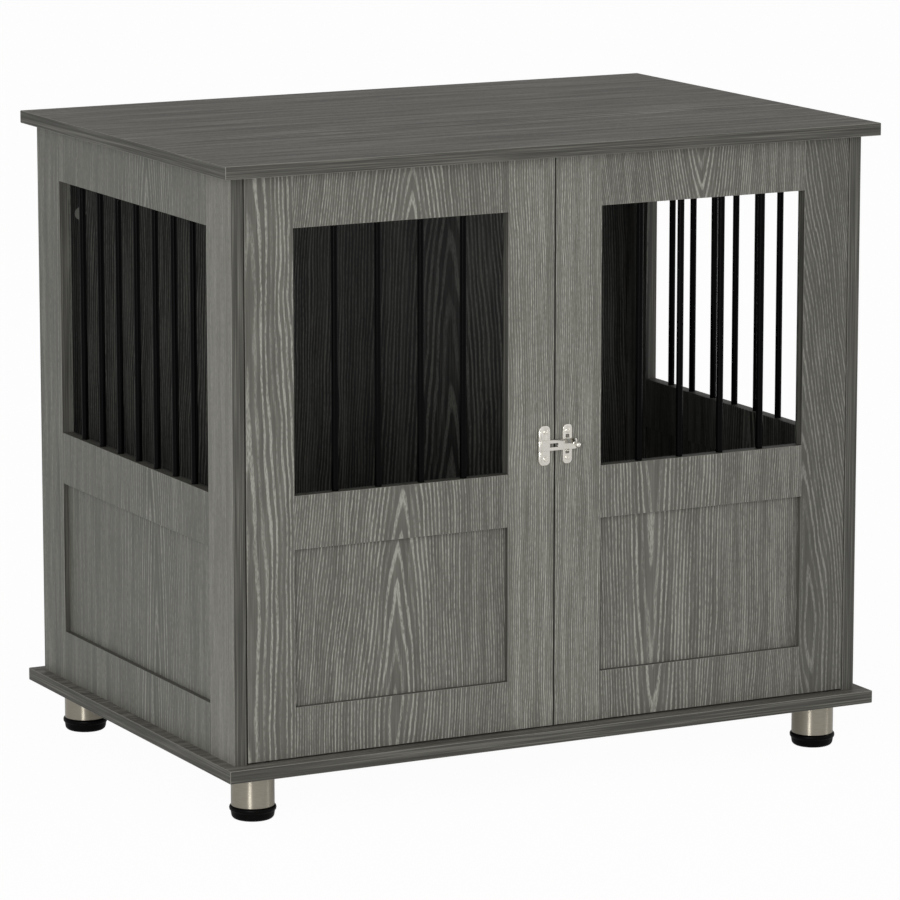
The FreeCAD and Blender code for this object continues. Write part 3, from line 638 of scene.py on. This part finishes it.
# Each cut is how far it goes out and the radius it ends with.
KNOB_CUTS_MM = [(0.6, 2.4), (0.5, 2.4), (0.3, 2.1), (0.3, 1.5), (3.4, 1.35), (0.5, 1.6), (0.4, 2.3),
                (0.5, 2.9), (0.8, 3.46), (1.3, 3.7), (1.3, 3.46), (1.1, 2.82), (0.7, 2.02), (0.43, 1.1),
                (0.17, 0.3)]
low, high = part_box("latch_knob")
knob_at = ((low[0] + high[0]) / 2, high[1], (low[2] + high[2]) / 2)
bpy.ops.object.select_all(action="DESELECT")
bpy.ops.mesh.primitive_circle_add(vertices=KNOB_SIDES, radius=KNOB_FOOT_MM * MM, fill_type="NGON",
                                  location=knob_at, rotation=(radians(90), 0, 0))
knob = bpy.context.object
knob.name = "turned_knob"
bpy.ops.object.transform_apply(location=True, rotation=True, scale=True)
bpy.ops.object.mode_set(mode="EDIT")
bpy.ops.mesh.select_all(action="SELECT")
radius = KNOB_FOOT_MM
out = high[1]
for cut, wanted in KNOB_CUTS_MM:
    out -= cut * MM
    bpy.ops.mesh.extrude_region_move(TRANSFORM_OT_translate={"value": (0, -cut * MM, 0)})
    bpy.ops.transform.resize(value=(wanted / radius, 1, wanted / radius),
                             center_override=(knob_at[0], out, knob_at[2]))
    radius = wanted
bpy.ops.mesh.select_all(action="SELECT")
bpy.ops.mesh.normals_make_consistent(inside=False)
bpy.ops.object.mode_set(mode="OBJECT")
finished(knob, "latch_arm", "bright_nickel", nickel, "latch_knob")
print("knob stands", round((high[1] - out) / MM, 2), "mm out, CAD", round((high[1] - low[1]) / MM, 2))

# %% [markdown]
# ## Cross-head screws
# Each plate is held by two pan-head screws. A head could be spun from a profile, but a disc with a bevelled
# upper rim gives the same pan in one step. A cross of two thin bars is then cut out of it. One screw is
# modelled and copied. The shanks are hidden in the wood.

# %% Screw
HEAD_SIDES = 40
HEAD_RADIUS_MM = 2.8
HEAD_RISE_MM = 1.4
PAN_ROUND_MM = 0.9
PAN_STEPS = 4
SLOT_MM = (3.0, 0.75, 0.9)
SLOT_TURNS = (20, 110)
bpy.ops.object.select_all(action="DESELECT")
bpy.ops.mesh.primitive_cylinder_add(vertices=HEAD_SIDES, radius=HEAD_RADIUS_MM * MM, depth=HEAD_RISE_MM * MM)
screw = bpy.context.object
screw.name = "pan_screw"
rim = HEAD_RISE_MM * MM / 2
for edge in screw.data.edges:
    edge.select = all(screw.data.vertices[index].co.z > 0 for index in edge.vertices)
for face in screw.data.polygons:
    face.select = face.normal.z > FACE_ON
# A new primitive is selected all over. In edge mode, the upper rim and the top face are now all that counts.
bpy.context.tool_settings.mesh_select_mode = (False, True, False)
bpy.ops.object.mode_set(mode="EDIT")
bpy.ops.mesh.bevel(offset=PAN_ROUND_MM * MM, segments=PAN_STEPS, affect="EDGES")
bpy.ops.object.mode_set(mode="OBJECT")
for turn in SLOT_TURNS:
    bpy.ops.object.select_all(action="DESELECT")
    bpy.ops.mesh.primitive_cube_add(size=1, location=(0, 0, rim), rotation=(0, 0, radians(turn)))
    bar = bpy.context.object
    bar.scale = (SLOT_MM[0] * MM, SLOT_MM[1] * MM, 2 * SLOT_MM[2] * MM)
    only(screw)
    cross = screw.modifiers.new("cross", "BOOLEAN")
    cross.operation = "DIFFERENCE"
    cross.object = bar
    bpy.ops.object.modifier_apply(modifier=cross.name)
    bpy.data.objects.remove(bar)
print("screw with", len(screw.data.polygons), "faces")

# %% Screws in their places
UPPER_SCREW_TURN = 37
for name, body in (("latch_plate_screws", "left_door"), ("latch_keeper_screws", "right_door")):
    low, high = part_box(name)
    pair = []
    for level, turn in ((low[2] + HEAD_RADIUS_MM * MM, 0),
                        (high[2] - HEAD_RADIUS_MM * MM, UPPER_SCREW_TURN)):
        copy = bpy.data.objects.new(name, screw.data.copy())
        bpy.context.scene.collection.objects.link(copy)
        copy.location = ((low[0] + high[0]) / 2, low[1] + rim, level)
        copy.rotation_euler = (radians(90), radians(turn), 0)
        pair.append(copy)
    only(pair[0])
    pair[1].select_set(True)
    bpy.ops.object.transform_apply(location=True, rotation=True, scale=True)
    bpy.ops.object.join()
    pair[0].name = f"cross_head_{name}"
    finished(pair[0], body, "bright_nickel", nickel, name)
bpy.data.objects.remove(screw)
